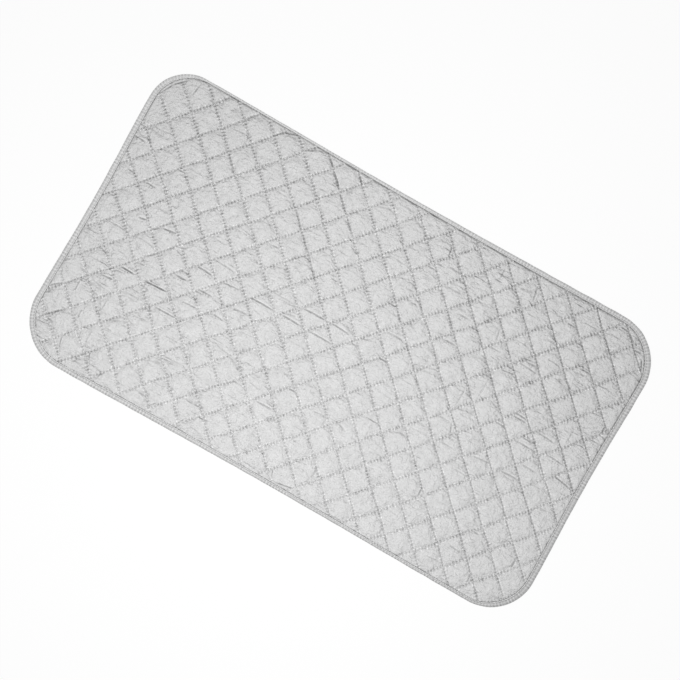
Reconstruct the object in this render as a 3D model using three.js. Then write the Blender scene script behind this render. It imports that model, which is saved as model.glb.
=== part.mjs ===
// A quilted ironing pad: a silver-coated face cloth, felt wadding and a back cloth, sewn through in two
// families of diagonal rows and bound round the edge with a folded tape.
// Millimetres, +Z up. The pad lies flat: the origin is under its middle, on the face that it rests on,
// and +X runs along its length.

import * as THREE from 'three';

// Outline of the pad, seen from above
const PAD_LENGTH = 850;
const PAD_WIDTH = 480;
const CORNER_RADIUS = 70;
const CORNER_STEPS = 6;

// Quilting rows: the direction of each family in degrees from +X, the spacing of its rows, and how far
// from the origin its middle row lies
const FALLING_ANGLE = -45;
const FALLING_PITCH = 35.7;
const FALLING_SHIFT = -12.4;
const RISING_ANGLE = 48.1;
const RISING_PITCH = 36;
const RISING_SHIFT = -4.3;

// Layers: the felt is pressed thin inside the binding, and the loft is the rise from a row to a crown
const FACE_CLOTH = 0.3;
const EDGE_FELT = 0.5;
const BACK_CLOTH = 0.3;
const LOFT = 2.2;
const LAYER_GAP = 0.05;

// Binding: a tape folded over the cut edge, with one seam through both lips
const TAPE = 0.5;
const LIP_WIDTH = 8;
const FOLD_STEPS = 4;
const SEAM_TO_LIP_EDGE = 1.5;
const BACK_SLOPE = 6;

// Thread, the same for the quilting and for the binding's seam
const THREAD = 0.3;

// Heights of the layers, stacked up from the surface that the pad lies on
const lowerLip = THREAD + LAYER_GAP;
const backEdge = lowerLip + TAPE + LAYER_GAP;
const feltEdge = backEdge + BACK_CLOTH + LAYER_GAP;
const feltRows = feltEdge + EDGE_FELT;
const faceUnderside = feltRows + LAYER_GAP;
const faceRows = faceUnderside + FACE_CLOTH;
const fallingBed = faceRows + LAYER_GAP;
const risingBed = fallingBed + THREAD + LAYER_GAP;
const upperLip = risingBed + THREAD + LAYER_GAP;
const upperLipTop = upperLip + TAPE;
const seamBed = upperLipTop + LAYER_GAP;

// Insets from the pad's edge: the fold is half round, the layers end where it starts to curve, and the
// quilting threads turn from row to row midway under the lip
const foldRadius = (upperLipTop - lowerLip) / 2;
const turnInset = (foldRadius + LIP_WIDTH) / 2;
const slopeInset = LIP_WIDTH + LAYER_GAP;
const flatInset = slopeInset + BACK_SLOPE;
const seamInset = LIP_WIDTH - SEAM_TO_LIP_EDGE;

const falling = rowFamily(FALLING_ANGLE, FALLING_PITCH, FALLING_SHIFT);
const rising = rowFamily(RISING_ANGLE, RISING_PITCH, RISING_SHIFT);

function rowFamily(degrees, pitch, shift) {
  const angle = THREE.MathUtils.degToRad(degrees);
  const direction = new THREE.Vector2(Math.cos(angle), Math.sin(angle));
  const normal = new THREE.Vector2(-direction.y, direction.x);
  const reach = Math.hypot(PAD_LENGTH, PAD_WIDTH) / 2;
  const first = Math.floor((-reach - shift) / pitch);
  const last = Math.ceil((reach - shift) / pitch);
  return { direction, normal, pitch, shift, first, last };
}

function rowOffset(family, index) {
  return family.shift + index * family.pitch;
}

// The pad's outline drawn in by an inset, counter-clockwise
function outline(inset) {
  const radius = CORNER_RADIUS - inset;
  const points = [];
  for (const [corner, signX, signY] of [[0, 1, 1], [1, -1, 1], [2, -1, -1], [3, 1, -1]]) {
    for (let step = 0; step <= CORNER_STEPS; step++) {
      const angle = (corner + step / CORNER_STEPS) * Math.PI / 2;
      const x = signX * (PAD_LENGTH / 2 - CORNER_RADIUS) + radius * Math.cos(angle);
      const y = signY * (PAD_WIDTH / 2 - CORNER_RADIUS) + radius * Math.sin(angle);
      points.push(new THREE.Vector2(x, y));
    }
  }
  return points;
}

// A point on an outline moved straight in from the edge: away from its side, or towards its corner's centre
function movedIn(point, distance) {
  const core = new THREE.Vector2(PAD_LENGTH / 2 - CORNER_RADIUS, PAD_WIDTH / 2 - CORNER_RADIUS);
  const nearest = point.clone().clamp(core.clone().negate(), core);
  const outward = point.clone().sub(nearest).normalize();
  return point.clone().addScaledVector(outward, -distance);
}

function atHeight(points, z) {
  return points.map((point) => new THREE.Vector3(point.x, point.y, z));
}

// Where each row of a family enters and leaves an outline, and on which of its sides
function rowsWithin(bound, family) {
  const rows = [];
  for (let index = family.first; index <= family.last; index++) {
    const ends = [];
    bound.forEach((point, side) => {
      const next = bound[(side + 1) % bound.length];
      const before = point.dot(family.normal) - rowOffset(family, index);
      const after = next.dot(family.normal) - rowOffset(family, index);
      if ((before < 0) !== (after < 0)) {
        ends.push({ point: point.clone().lerp(next, before / (before - after)), side });
      }
    });
    if (ends.length === 2) {
      ends.sort((a, b) => a.point.dot(family.direction) - b.point.dot(family.direction));
      rows.push({ enter: ends[0], leave: ends[1] });
    }
  }
  return rows;
}

// Where a falling row crosses a rising one
function crossing(fallingIndex, risingIndex) {
  const a = rowOffset(falling, fallingIndex);
  const b = rowOffset(rising, risingIndex);
  const turn = falling.normal.cross(rising.normal);
  const x = (a * rising.normal.y - b * falling.normal.y) / turn;
  const y = (b * falling.normal.x - a * rising.normal.x) / turn;
  return new THREE.Vector2(x, y);
}

// How deep a point lies inside one side of an outline
function depthInside(bound, side, point) {
  const along = bound[(side + 1) % bound.length].clone().sub(bound[side]).normalize();
  return along.cross(point.clone().sub(bound[side]));
}

// The part of a cell that lies inside an outline
function trimmed(cell, bound) {
  return bound.reduce((points, _, side) => {
    const depths = points.map((point) => depthInside(bound, side, point));
    return points.flatMap((point, i) => {
      const j = (i + 1) % points.length;
      const kept = depths[i] >= 0 ? [point] : [];
      if ((depths[i] >= 0) === (depths[j] >= 0)) return kept;
      return [...kept, point.clone().lerp(points[j], depths[i] / (depths[i] - depths[j]))];
    });
  }, cell);
}

// The cells between the rows: those that the binding leaves clear are free to rise
function quiltCells(bound, lipEdge) {
  const cells = [];
  for (let i = falling.first; i < falling.last; i++) {
    for (let j = rising.first; j < rising.last; j++) {
      const corners = [crossing(i, j), crossing(i + 1, j), crossing(i + 1, j + 1), crossing(i, j + 1)];
      const points = trimmed(corners, bound);
      const sewn = points.map((point) => corners.includes(point));
      const clear = (corner) => lipEdge.every((_, side) => depthInside(lipEdge, side, corner) > 0);
      const free = corners.every(clear);
      if (points.length > 2) cells.push({ points, sewn, free });
    }
  }
  return cells;
}

// A quilted surface: a free cell rises to a crown over its middle, and one under the binding stays flat
function quilted(cells, rowHeight, rimHeight) {
  const triangles = [];
  for (const { points, sewn, free } of cells) {
    const height = (i) => (sewn[i] ? rowHeight : rimHeight);
    const ring = points.map((point, i) => new THREE.Vector3(point.x, point.y, height(i)));
    if (free) {
      const crown = ring[0].clone().add(ring[2]).multiplyScalar(0.5);
      crown.z += LOFT;
      ring.forEach((point, i) => triangles.push([point, ring[(i + 1) % ring.length], crown]));
    } else {
      for (let i = 1; i < ring.length - 1; i++) triangles.push([ring[0], ring[i], ring[i + 1]]);
    }
  }
  return triangles;
}

function turnedOver(triangles) {
  return triangles.map(([a, b, c]) => [a, c, b]);
}

// The quads between one loop of points and the next
function band(loop, nextLoop) {
  return loop.flatMap((a, i) => {
    const b = loop[(i + 1) % loop.length];
    const c = nextLoop[(i + 1) % loop.length];
    const d = nextLoop[i];
    return [[a, b, c], [a, c, d]];
  });
}

function bands(loops) {
  return loops.slice(1).flatMap((loop, i) => band(loops[i], loop));
}

// A flat face inside a loop, looking up
function capped(loop) {
  const flat = loop.map((point) => new THREE.Vector2(point.x, point.y));
  return THREE.ShapeUtils.triangulateShape(flat, []).map((corners) => corners.map((i) => loop[i]));
}

// A closed section, as pairs of inset and height, carried once round the pad
function edging(section) {
  const loops = section.map(([inset, z]) => atHeight(outline(inset), z));
  return bands([...loops, loops[0]]);
}

// The corners of the outline that are passed on the way from one of its sides to another
function cornersBetween(bound, fromSide, toSide, step) {
  const corners = [];
  for (let side = fromSide; side !== toSide; side = (side + step + bound.length) % bound.length) {
    corners.push(bound[step > 0 ? (side + 1) % bound.length : side]);
  }
  return corners;
}

// One thread sews a whole family: up one row, along under the binding, and back down the next
function quiltingPath(family) {
  const bound = outline(turnInset);
  const rows = rowsWithin(bound, family);
  return rows.flatMap((row, index) => {
    const back = index % 2 === 1;
    const [start, end] = back ? [row.leave, row.enter] : [row.enter, row.leave];
    const next = rows[index + 1];
    if (!next) return [start.point, end.point];
    const turnSide = back ? next.enter.side : next.leave.side;
    return [start.point, end.point, ...cornersBetween(bound, end.side, turnSide, back ? -1 : 1)];
  });
}

// A thread of square section laid along a path at one height, mitred where it turns
function strand(path, bed) {
  const across = path.slice(1).map((point, i) => {
    const along = point.clone().sub(path[i]).normalize();
    return new THREE.Vector2(-along.y, along.x);
  });
  const rings = path.map((point, i) => {
    const before = across[Math.max(i - 1, 0)];
    const after = across[Math.min(i, across.length - 1)];
    const mitre = before.clone().add(after).multiplyScalar(THREAD / 2 / (1 + before.dot(after)));
    const left = point.clone().add(mitre);
    const right = point.clone().sub(mitre);
    return [...atHeight([right, left], bed + THREAD), ...atHeight([left, right], bed)];
  });
  const sides = rings.slice(1).flatMap((ring, i) => turnedOver(band(rings[i], ring)));
  const [a, b, c, d] = rings[0];
  const [e, f, g, h] = rings[rings.length - 1];
  return [...sides, [a, b, c], [a, c, d], [e, g, f], [e, h, g]];
}

function threadSection(bed) {
  const inner = seamInset + THREAD / 2;
  const outer = seamInset - THREAD / 2;
  return [[inner, bed], [outer, bed], [outer, bed + THREAD], [inner, bed + THREAD]];
}

const cutEdge = outline(foldRadius);
const cells = quiltCells(cutEdge, outline(LIP_WIDTH));
const rowEnds = [falling, rising].flatMap((family) => rowsWithin(cutEdge, family))
  .flatMap((row) => [row.enter.point, row.leave.point]);
const rim = [...cutEdge, ...rowEnds].sort((a, b) => Math.atan2(a.y, a.x) - Math.atan2(b.y, b.x));

// The face cloth's cut edge is drawn thin: both its surfaces end on one line inside the fold
function faceCloth() {
  const edge = (faceUnderside + faceRows) / 2;
  return [...quilted(cells, faceRows, edge), ...turnedOver(quilted(cells, faceUnderside, edge))];
}

// The felt fills the quilting above and lies on the back cloth below
function wadding() {
  const floor = atHeight(rim.map((point) => movedIn(point, flatInset - foldRadius)), BACK_CLOTH + LAYER_GAP);
  const slope = atHeight(rim.map((point) => movedIn(point, slopeInset - foldRadius)), feltEdge);
  const edge = atHeight(rim, feltEdge);
  const sides = bands([floor, slope, edge, atHeight(rim, feltRows)]);
  return [...turnedOver(capped(floor)), ...sides, ...quilted(cells, feltRows, feltRows)];
}

// The back cloth rests flat, and climbs near its edge to pass over the lower lip
function backCloth() {
  const profile = [
    [flatInset, 0],
    [slopeInset, backEdge],
    [foldRadius, backEdge],
    [foldRadius, backEdge + BACK_CLOTH],
    [slopeInset, backEdge + BACK_CLOTH],
    [flatInset, BACK_CLOTH],
  ];
  const loops = profile.map(([inset, z]) => atHeight(outline(inset), z));
  return [...turnedOver(capped(loops[0])), ...bands(loops), ...capped(loops[loops.length - 1])];
}

// The binding's section: under the lower lip, round the fold, over the upper lip and back inside
function edgeBinding() {
  const foldHeight = (lowerLip + upperLipTop) / 2;
  const fold = (radius) => Array.from({ length: FOLD_STEPS + 1 }, (_, step) => {
    const angle = (step / FOLD_STEPS - 0.5) * Math.PI;
    return [foldRadius - radius * Math.cos(angle), foldHeight + radius * Math.sin(angle)];
  });
  return edging([
    [LIP_WIDTH, lowerLip],
    ...fold(foldRadius),
    [LIP_WIDTH, upperLipTop],
    [LIP_WIDTH, upperLip],
    ...fold(foldRadius - TAPE).reverse(),
    [LIP_WIDTH, lowerLip + TAPE],
  ]);
}

const pad = new THREE.Group();

function addPiece(name, triangles, color, roughness, metalness) {
  const geometry = new THREE.BufferGeometry().setFromPoints(triangles.flat());
  geometry.computeVertexNormals();
  const piece = new THREE.Mesh(geometry, new THREE.MeshStandardMaterial({ color, roughness, metalness }));
  piece.name = name;
  pad.add(piece);
}

addPiece('back_cloth', backCloth(), 0xd9d8d3, 0.9, 0);
addPiece('wadding', wadding(), 0xeeece6, 1, 0);
addPiece('face_cloth', faceCloth(), 0xd2d3d4, 0.55, 0.2);
addPiece('quilting_thread_falling', strand(quiltingPath(falling), fallingBed), 0xc4c5c7, 0.7, 0);
addPiece('quilting_thread_rising', strand(quiltingPath(rising), risingBed), 0xc4c5c7, 0.7, 0);
addPiece('edge_binding', edgeBinding(), 0xcdcecf, 0.6, 0.1);
addPiece('binding_needle_thread', edging(threadSection(seamBed)), 0xc4c5c7, 0.7, 0);
addPiece('binding_bobbin_thread', edging(threadSection(0)), 0xc4c5c7, 0.7, 0);

export default pad;
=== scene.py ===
# %% [markdown]
# A quilted ironing pad. A silver-coated cloth, a felt wadding and a plain back cloth are sewn through
# in two families of slanting rows, and a folded tape binds the edge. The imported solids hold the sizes.
# This script dresses them: soft cloth with puffs and creases, felt, rolled tape and single stitches.

import bpy
import numpy as np
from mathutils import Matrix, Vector


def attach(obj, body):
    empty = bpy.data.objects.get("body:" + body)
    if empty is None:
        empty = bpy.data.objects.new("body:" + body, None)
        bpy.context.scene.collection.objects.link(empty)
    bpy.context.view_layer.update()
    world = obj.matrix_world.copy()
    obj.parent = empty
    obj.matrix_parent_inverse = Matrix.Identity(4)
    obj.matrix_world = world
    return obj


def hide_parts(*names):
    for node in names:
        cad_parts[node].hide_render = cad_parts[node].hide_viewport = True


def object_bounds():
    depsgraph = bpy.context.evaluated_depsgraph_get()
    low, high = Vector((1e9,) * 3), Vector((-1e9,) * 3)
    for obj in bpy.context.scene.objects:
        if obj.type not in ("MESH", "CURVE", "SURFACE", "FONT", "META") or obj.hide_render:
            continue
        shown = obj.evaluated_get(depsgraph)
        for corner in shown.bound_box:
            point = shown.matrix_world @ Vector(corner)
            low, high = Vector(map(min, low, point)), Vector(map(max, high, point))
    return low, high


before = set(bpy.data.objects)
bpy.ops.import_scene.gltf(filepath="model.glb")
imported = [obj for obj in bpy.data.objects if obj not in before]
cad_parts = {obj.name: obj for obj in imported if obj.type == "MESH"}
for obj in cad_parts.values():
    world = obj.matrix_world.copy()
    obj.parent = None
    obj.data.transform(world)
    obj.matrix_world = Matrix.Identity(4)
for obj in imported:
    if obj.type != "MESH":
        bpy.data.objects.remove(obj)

CAD_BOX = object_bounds()
MM = 0.001
print("CAD box in metres", [tuple(round(value, 4) for value in corner) for corner in CAD_BOX])

# %% [markdown]
# The photograph looks straight down on a pad that lies turned by about thirty degrees. A camera can be
# aimed by a constraint or by its rotation. Here it hangs above the pad and is turned about its own
# view, so the pad keeps the axes of its frame. A long lens from far away keeps the edges parallel.

# %% Hang the camera above the pad
VIEW_TURN = np.radians(29.58)
VIEW_WIDTH = 1.0095
VIEW_CENTRE = (-0.0012, 0.0023)
LENS_MM, SENSOR_MM = 100.0, 36.0
PAD_TOP = CAD_BOX[1][2]
camera_height = PAD_TOP + VIEW_WIDTH * LENS_MM / SENSOR_MM

bpy.ops.object.select_all(action="DESELECT")
bpy.ops.object.camera_add(location=(*VIEW_CENTRE, camera_height), rotation=(0, 0, VIEW_TURN))
camera = bpy.context.object
camera.name = "overhead_camera"
camera.data.lens = LENS_MM
camera.data.sensor_width = SENSOR_MM
bpy.context.scene.camera = camera
bpy.context.scene.view_settings.view_transform = "Standard"
print("camera", round(camera_height, 3), "m above the floor")

# %% [markdown]
# Every finish below is a small tree of shader nodes. One helper adds a node, sets its options and fills
# or links its inputs, and another turns a hex colour as a designer writes it into the linear values
# that the shader wants. A kind of node that comes up often has a name here, together with its options.

# %% Helpers for materials
def hex_colour(code):
    """A hex colour such as D3D4D5, turned from sRGB to linear."""
    parts = [int(code[k:k + 2], 16) / 255 for k in (0, 2, 4)]
    linear = [c / 12.92 if c <= 0.04045 else ((c + 0.055) / 1.055) ** 2.4 for c in parts]
    return (*linear, 1.0)


def add_node(tree, kind, settings=None, inputs=None):
    """A new node. Its inputs, in order or by name, take a value, an output or a node's first output."""
    made = tree.nodes.new(kind)
    for name, value in (settings or {}).items():
        setattr(made, name, value)
    named = inputs if isinstance(inputs, dict) else dict(enumerate(inputs or ()))
    for name, value in named.items():
        if isinstance(value, bpy.types.Node):
            value = value.outputs[0]
        if isinstance(value, bpy.types.NodeSocket):
            tree.links.new(value, made.inputs[name])
        else:
            made.inputs[name].default_value = value
    return made


def new_material(name):
    """A material with an empty tree."""
    material = bpy.data.materials.new(name)
    material.use_nodes = True
    material.node_tree.nodes.clear()
    return material, material.node_tree


TIMES, TIMES_PLUS, PLUS, MINUS, DIVIDED, LARGER, UNSIGNED, ROOT, COSINE, FRACTION, WHOLE, TO_AND_FRO = [
    ("ShaderNodeMath", {"operation": name}) for name in (
        "MULTIPLY", "MULTIPLY_ADD", "ADD", "SUBTRACT", "DIVIDE", "MAXIMUM",
        "ABSOLUTE", "SQRT", "COSINE", "FRACT", "FLOOR", "PINGPONG")]
# Fade takes a value, the two ends of its range, and what to give at each end, with a soft passage.
FADE = ("ShaderNodeMapRange", {"interpolation_type": "SMOOTHSTEP"})
NOISE = ("ShaderNodeTexNoise", {})
print("silver as linear values", [round(value, 3) for value in hex_colour("C8C8C8")])

# %% [markdown]
# The studio is a pale floor, an even white sky and one softbox. The softbox hangs over the near long side
# of the pad, so the light spreads from there: a row is darkest where it runs across that light, which
# is falling rows at the right end and rising rows at the left, and the shade painted along the rows leans
# the same way. The floor is partly lit and partly shown at its own white to the camera, so it stays an
# even white sheet and still carries the pad's shadow.

# %% Light and floor
SKY_STRENGTH = 0.45
LAMP_PLACE, LAMP_SIZE, LAMP_WATTS = (-0.05, -0.21, 1.0), 0.45, 7.1
FLOOR_SIZE = 8.0
FLOOR_DROP = 0.2 * MM
FLOOR_OWN_WHITE = 0.88

world = bpy.data.worlds.new("studio_sky")
bpy.context.scene.world = world
world.use_nodes = True
sky = world.node_tree
sky.nodes.clear()
path = add_node(sky, "ShaderNodeLightPath")
shown = path.outputs["Is Camera Ray"]
for ray in ("Is Glossy Ray", "Is Transmission Ray"):
    shown = add_node(sky, *LARGER, (shown, path.outputs[ray]))
level = add_node(sky, *TIMES_PLUS, (shown, 1 - SKY_STRENGTH, SKY_STRENGTH))
sky_light = add_node(sky, "ShaderNodeBackground", inputs={"Color": (1, 1, 1, 1), "Strength": level})
add_node(sky, "ShaderNodeOutputWorld", inputs={"Surface": sky_light})

bpy.ops.object.light_add(type="AREA", location=LAMP_PLACE)
lamp = bpy.context.object
lamp.name = "softbox"
lamp.data.size = LAMP_SIZE
lamp.data.energy = LAMP_WATTS
lamp.visible_camera = False
lamp.rotation_euler = Vector(LAMP_PLACE).to_track_quat("Z", "Y").to_euler()

floor_finish, tree = new_material("pale_studio_floor")
path = add_node(tree, "ShaderNodeLightPath")
own_share = add_node(tree, *TIMES, (path.outputs["Is Camera Ray"], FLOOR_OWN_WHITE))
lit = add_node(tree, "ShaderNodeBsdfDiffuse", inputs={"Color": hex_colour("FCFCFC")})
own = add_node(tree, "ShaderNodeEmission", inputs={"Color": hex_colour("FFFFFF"), "Strength": 1.0})
both = add_node(tree, "ShaderNodeMixShader", inputs=(own_share, lit, own))
add_node(tree, "ShaderNodeOutputMaterial", inputs={"Surface": both})

bpy.ops.mesh.primitive_plane_add(size=FLOOR_SIZE, location=(0, 0, -FLOOR_DROP))
floor = bpy.context.object
floor.name = "studio_floor"
floor.data.materials.append(floor_finish)
print("floor of", FLOOR_SIZE, "m and a softbox of", LAMP_WATTS, "W")

# %% [markdown]
# The quilting is a lattice. Falling rows run down to the right and rising rows up to the right, each
# family at its own slant, spacing and start. A place on the pad is best told as two counts, of falling
# and of rising rows, because every row then falls on a whole number. Cloth creeps as it is fed through
# the machine, so the rows drift a few millimetres from straight; a gentle formula in the place on the
# pad does that to both families.

# %% The lattice of quilting rows
PAD_LENGTH = CAD_BOX[1][0] - CAD_BOX[0][0]
PAD_WIDTH = CAD_BOX[1][1] - CAD_BOX[0][1]
HALF = np.array([PAD_LENGTH, PAD_WIDTH]) / 2
FALLING_ANGLE, RISING_ANGLE = np.radians(-45.0), np.radians(48.1)
ROW_PITCH = np.array([35.7, 36.0]) * MM
ROW_SHIFT = np.array([-12.0, -4.0]) * MM
SEED, UNSTEADY = 7, 0.35
ROWS_EACH_WAY = 13
# The outermost rising row, which would cross the far left corner, was left unsewn.
LAST_ROW = np.array([ROWS_EACH_WAY, 11])
ROW_NORMALS = np.array([(-np.sin(angle), np.cos(angle)) for angle in (FALLING_ANGLE, RISING_ANGLE)])
FROM_OFFSETS = np.linalg.inv(ROW_NORMALS)


def ripples(plan, length, seed, waves=24):
    """Smooth irregular ripples of about that length, near 0 on average and 1 in size."""
    rng = np.random.default_rng(seed)
    total = np.zeros(len(plan))
    for _ in range(waves):
        angle = rng.uniform(0, np.pi)
        wave_number = 2 * np.pi / (length * rng.uniform(0.7, 1.5))
        along = plan[:, 0] * np.cos(angle) + plan[:, 1] * np.sin(angle)
        total += np.sin(wave_number * along + rng.uniform(0, 2 * np.pi))
    return total / np.sqrt(waves / 2)


def row_drift(plan):
    """How far the falling and the rising rows have crept at each place, along their normals."""
    x, y = plan[:, 0] / 0.4, plan[:, 1] / 0.22
    falling = 0.7 - 1.9 * x - 0.8 * x ** 2 + 3.8 * x ** 3 - 1.5 * y ** 2 + 1.0 * x * y ** 2 - 0.5 * x * y
    rising = (-0.7 - 1.5 * y + 1.3 * x ** 2 + 1.2 * x * y + 0.9 * y ** 2
              + 2.2 * x ** 2 * y + 1.4 * y ** 3 - 1.0 * x * y ** 2 + 0.8 * x ** 3)
    falling = falling + UNSTEADY * ripples(plan, 60 * MM, SEED)
    rising = rising + UNSTEADY * ripples(plan, 60 * MM, SEED + 1)
    return np.stack([falling, rising], axis=1) * MM


def lattice_place(counts):
    """The plan of places given as counts of falling and rising rows."""
    straight = (ROW_SHIFT + counts * ROW_PITCH) @ FROM_OFFSETS.T
    inside = np.clip(straight, -HALF, HALF)
    return straight + row_drift(inside) @ FROM_OFFSETS.T


def row_counts(plan):
    """The counts of falling and rising rows at each place of the plan."""
    drift = row_drift(np.clip(plan, -HALF, HALF))
    straight = plan - drift @ FROM_OFFSETS.T
    return (plan @ ROW_NORMALS.T - row_drift(np.clip(straight, -HALF, HALF)) - ROW_SHIFT) / ROW_PITCH


print("row slants", np.degrees([FALLING_ANGLE, RISING_ANGLE]), "pitches", ROW_PITCH)

# %% [markdown]
# The outline is a rectangle with four rounded corners that were cut by eye, so each has its own radius.
# The depth of a place inside that outline tells how far it is from the edge, and so where the cloth
# dives under the tape. A sewn pad also draws in between its corners. That is one last shift that every
# piece gets alike, so the layers stay together.

# %% The outline and the way the pad lies
CORNER_RADII = {(-1, 1): 61 * MM, (1, 1): 75 * MM, (1, -1): 70 * MM, (-1, -1): 77 * MM}


def edge_depth(plan):
    """How deep each place lies inside the outline."""
    side = np.where(plan >= 0, 1, -1)
    radius = np.array([CORNER_RADII[tuple(pair)] for pair in side])
    past = np.abs(plan) - (HALF - radius[:, None])
    outside = np.linalg.norm(np.maximum(past, 0), axis=1)
    return radius - outside - np.minimum(past.max(axis=1), 0)


BOW_OUT, BOW_IN = 1.2 * MM, 2.8 * MM
# The shift fades with a high power towards the middle of the pad, and keeps this far from the corners.
BOW_POWER, BOW_FROM_CORNER = 5, 0.07


def side_bow(share):
    """Sideways shift along a side, from -1 to 1: out near the corners and in at the middle."""
    within = np.clip(np.abs(share), 0, 1)
    return BOW_OUT - BOW_IN * (1 - within ** 2) ** 2


def as_laid(points):
    """The pad as it lies: points of the ideal pad, drawn in along the sides."""
    laid = np.array(points, dtype=float)
    x, y = laid[:, 0].copy(), laid[:, 1].copy()
    laid[:, 0] += (x / HALF[0]) ** BOW_POWER * side_bow(y / (HALF[1] - BOW_FROM_CORNER))
    laid[:, 1] += (y / HALF[1]) ** BOW_POWER * side_bow(x / (HALF[0] - BOW_FROM_CORNER))
    return laid


print("outline corners", {corner: round(radius, 3) for corner, radius in CORNER_RADII.items()})

# %% [markdown]
# Puffs. The rows pull the cloth down hard and the felt pushes it back up within a few millimetres, so a
# puff has steep flanks and a wide, nearly flat top. The same curve lifts the cloth away from the seam
# of the tape. The rows lie two millimetres up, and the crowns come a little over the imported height.

# %% Heights of the face and of the back
ROW_HEIGHT = 2.0 * MM
CROWN_HEIGHT = PAD_TOP + 0.3 * MM
FACE_FLANK, FLANK_CURVE = 12.0 * MM, 2.2
CRACK, CRACK_SHARE = 0.8 * MM, 0.35
# The lip's width, then how much more it is on two opposite quarters, on the near side and on the right.
# Both ends have a width of their own, a little more on the right.
LIP_WIDTH, LIP_LEAN, LIP_NEAR, LIP_RIGHT = 6.25 * MM, 1.65 * MM, 0.7 * MM, 0.3 * MM
LIP_AT_END, LIP_RIGHT_END = 2.75 * MM, 0.5 * MM
LIP_BLEND, END_FROM, END_BLEND = 0.2, 0.36, 0.06
TAPE_GAP = 0.3 * MM
BACK_ROW_HEIGHT = 0.75 * MM
BACK_FLAT_HEIGHT = 0.05 * MM
BACK_FLANK = 7.0 * MM


def rise(distance, reach):
    """From 0 on a seam to 1 at its reach: a narrow crack along the seam, then a soft flank."""
    share = np.clip(distance / reach, 0, 1)
    return 1 - CRACK_SHARE * np.exp(-distance / CRACK) - (1 - CRACK_SHARE) * (1 - share) ** FLANK_CURVE


def lip_width(plan):
    """The tape's lip was sewn by eye, so each quarter of the edge and each end has its own width."""
    across = plan[:, 1] / HALF[1]
    lean = np.clip(plan[:, 0] * across / LIP_BLEND, -1, 1)
    along = np.clip(plan[:, 0] / LIP_BLEND, -1, 1)
    by_quarter = LIP_LEAN * lean - LIP_NEAR * across + LIP_RIGHT * along
    at_end = np.clip((np.abs(plan[:, 0]) - END_FROM) / END_BLEND, 0, 1)
    end_extra = LIP_AT_END + LIP_RIGHT_END * np.sign(plan[:, 0])
    return LIP_WIDTH + by_quarter * (1 - at_end) + end_extra * at_end


def row_distances(counts):
    """Distances to the nearest falling and the nearest rising row."""
    nearest = np.minimum(np.rint(counts), LAST_ROW)
    return np.abs(counts - nearest) * ROW_PITCH


def puff(plan, flank):
    """From 0 on the rows and under the tape to 1 on the crowns."""
    falling, rising = row_distances(row_counts(plan)).T
    clear_of_tape = np.maximum(edge_depth(plan) - lip_width(plan) - TAPE_GAP, 0)
    return rise(falling, flank) * rise(rising, flank) * rise(clear_of_tape, flank)


def face_height(plan):
    return ROW_HEIGHT + (CROWN_HEIGHT - ROW_HEIGHT) * puff(plan, FACE_FLANK)


def back_height(plan):
    return BACK_ROW_HEIGHT + (BACK_FLAT_HEIGHT - BACK_ROW_HEIGHT) * puff(plan, BACK_FLANK)


print("face from", ROW_HEIGHT, "to", round(CROWN_HEIGHT, 4))

# %% [markdown]
# A sheet of cloth starts as a plain grid. Its lines are set along the rows, closer together near them,
# because the cloth bends most there. What lies past the outline is deleted, and after the cloth has its
# shape a ring of straight cuts trims it to a clean edge that hides under the tape.

# %% Helpers for sheets
CORNER_CUTS = 8


def mesh_points(piece):
    points = np.empty(len(piece.data.vertices) * 3, np.float32)
    piece.data.vertices.foreach_get("co", points)
    return points.reshape(-1, 3).astype(float)


def set_mesh_points(piece, points):
    piece.data.vertices.foreach_set("co", np.asarray(points, np.float32).ravel())
    piece.data.update()


def delete_points(piece, unwanted):
    """Deletes the marked vertices, as by hand in edit mode."""
    bpy.ops.object.mode_set(mode="EDIT")
    bpy.ops.mesh.select_mode(type="VERT")
    bpy.ops.mesh.select_all(action="DESELECT")
    bpy.ops.object.mode_set(mode="OBJECT")
    piece.data.vertices.foreach_set("select", unwanted)
    bpy.ops.object.mode_set(mode="EDIT")
    bpy.ops.mesh.delete(type="VERT")
    bpy.ops.object.mode_set(mode="OBJECT")


def lattice_sheet(name, steps, grading):
    """A flat sheet whose grid follows the rows, with that many steps from row to row."""
    across = 2 * ROWS_EACH_WAY * steps
    bpy.ops.object.select_all(action="DESELECT")
    bpy.ops.mesh.primitive_grid_add(x_subdivisions=across, y_subdivisions=across, size=2 * ROWS_EACH_WAY)
    sheet = bpy.context.object
    sheet.name = name
    lines = np.rint((mesh_points(sheet)[:, :2] + ROWS_EACH_WAY) * steps)
    even = lines / steps
    counts = even - grading * np.sin(2 * np.pi * even) / (2 * np.pi) - ROWS_EACH_WAY
    plan = lattice_place(counts)
    set_mesh_points(sheet, np.column_stack([plan, np.zeros(len(plan))]))
    kept = edge_depth(plan) > 0
    delete_points(sheet, ~kept)
    on_row = (row_distances(counts) < 0.001 * MM).any(axis=1)
    return sheet, on_row[kept]


def trim_sheet(sheet, inset):
    """Cuts the sheet to the outline, moved in by inset, with one straight cut after another."""
    cuts = []
    for (side_x, side_y), radius in CORNER_RADII.items():
        centre = np.array([side_x, side_y]) * (HALF - radius)
        for step in range(CORNER_CUTS + 1):
            angle = step / CORNER_CUTS * np.pi / 2
            out = np.array([side_x * np.cos(angle), side_y * np.sin(angle)])
            cuts.append((centre + out * (radius - inset), out))
    bpy.ops.object.select_all(action="DESELECT")
    sheet.select_set(True)
    bpy.context.view_layer.objects.active = sheet
    bpy.ops.object.mode_set(mode="EDIT")
    for place, out in cuts:
        bpy.ops.mesh.select_all(action="SELECT")
        bpy.ops.mesh.bisect(plane_co=(*place, 0), plane_no=(*out, 0), clear_outer=True)
    bpy.ops.object.mode_set(mode="OBJECT")


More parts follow.
